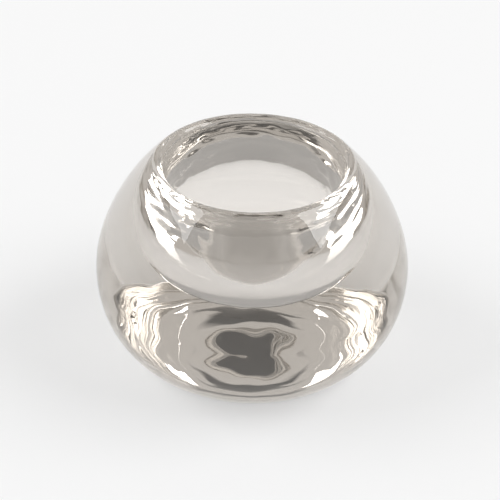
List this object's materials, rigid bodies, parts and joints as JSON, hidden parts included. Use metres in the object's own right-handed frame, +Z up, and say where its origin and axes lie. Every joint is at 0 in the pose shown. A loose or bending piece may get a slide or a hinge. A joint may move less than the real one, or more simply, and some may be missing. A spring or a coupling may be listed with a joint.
{
  "type": "globe tealight holder",
  "caption": "Squat solid clear-glass globe with a flat base, a rounded rim and a deep round well that holds a tealight.",
  "frame": {"origin": "middle of the flat base, on the table", "axes": "+Z up along the axis of the turned body, out of the mouth of the well; X and Y level and alike"},
  "size_m": [0.076, 0.076, 0.0504],
  "materials": {
    "clear_glass": "fire-polished, clear"
  },
  "bodies": {
    "root": {"glass_body": "clear_glass"}
  },
  "joints": []
}
